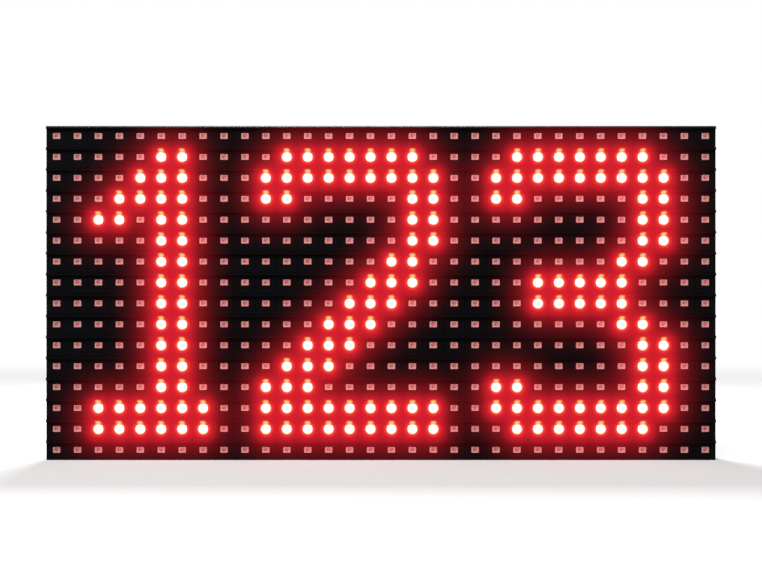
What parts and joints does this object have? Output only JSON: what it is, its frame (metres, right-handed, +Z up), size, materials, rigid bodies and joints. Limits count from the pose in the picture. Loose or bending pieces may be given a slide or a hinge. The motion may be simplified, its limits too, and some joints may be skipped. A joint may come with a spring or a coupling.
{
  "type": "led dot matrix",
  "caption": "Flat rectangular dot matrix display panel: a louvred black front over a circuit board, with a ribbed rear frame to screw it down.",
  "frame": {"origin": "centre of the rear mounting plane, midway between the four threaded inserts", "axes": "+X right as the viewer sees the lit face, +Y out of the rear, +Z up; the lit face looks along -Y"},
  "size_m": [0.3196, 0.017, 0.1596],
  "materials": {
    "mask_plastic": "matte black moulded plastic",
    "frame_plastic": "dark grey glass-filled plastic",
    "board": "green solder mask over glass fibre",
    "led_package": "pale moulded package",
    "connector_plastic": "black moulded plastic",
    "chip_plastic": "dark moulded epoxy",
    "gold_pin": "gold-plated pins",
    "tinned_metal": "tin-plated contacts",
    "brass": "turned brass",
    "can_metal": "drawn aluminium can",
    "ceramic": "tan ceramic with tinned ends"
  },
  "bodies": {
    "root": {"buffer_chip": "chip_plastic", "capacitor_base_1": "connector_plastic", "capacitor_base_2": "connector_plastic", "capacitor_can_1": "can_metal", "capacitor_can_2": "can_metal", "chip_capacitors": "ceramic", "chip_resistors": "ceramic", "circuit_board": "board", "data_header_in": "connector_plastic", "data_header_out": "connector_plastic", "data_pins_in": "gold_pin", "data_pins_out": "gold_pin", "driver_chip_1": "chip_plastic", "driver_chip_2": "chip_plastic", "driver_chip_3": "chip_plastic", "driver_chip_4": "chip_plastic", "driver_chip_5": "chip_plastic", "driver_chip_6": "chip_plastic", "driver_chip_7": "chip_plastic", "driver_chip_8": "chip_plastic", "front_mask": "mask_plastic", "led_row_01": "led_package", "led_row_02": "led_package", "led_row_03": "led_package", "led_row_04": "led_package", "led_row_05": "led_package", "led_row_06": "led_package", "led_row_07": "led_package", "led_row_08": "led_package", "led_row_09": "led_package", "led_row_10": "led_package", "led_row_11": "led_package", "led_row_12": "led_package", "led_row_13": "led_package", "led_row_14": "led_package", "led_row_15": "led_package", "led_row_16": "led_package", "mounting_insert_1": "brass", "mounting_insert_2": "brass", "mounting_insert_3": "brass", "mounting_insert_4": "brass", "power_feet": "tinned_metal", "power_housing": "connector_plastic", "power_pins": "tinned_metal", "rear_frame": "frame_plastic", "row_switch_1": "chip_plastic", "row_switch_2": "chip_plastic", "row_switch_3": "chip_plastic", "row_switch_4": "chip_plastic"}
  },
  "joints": []
}
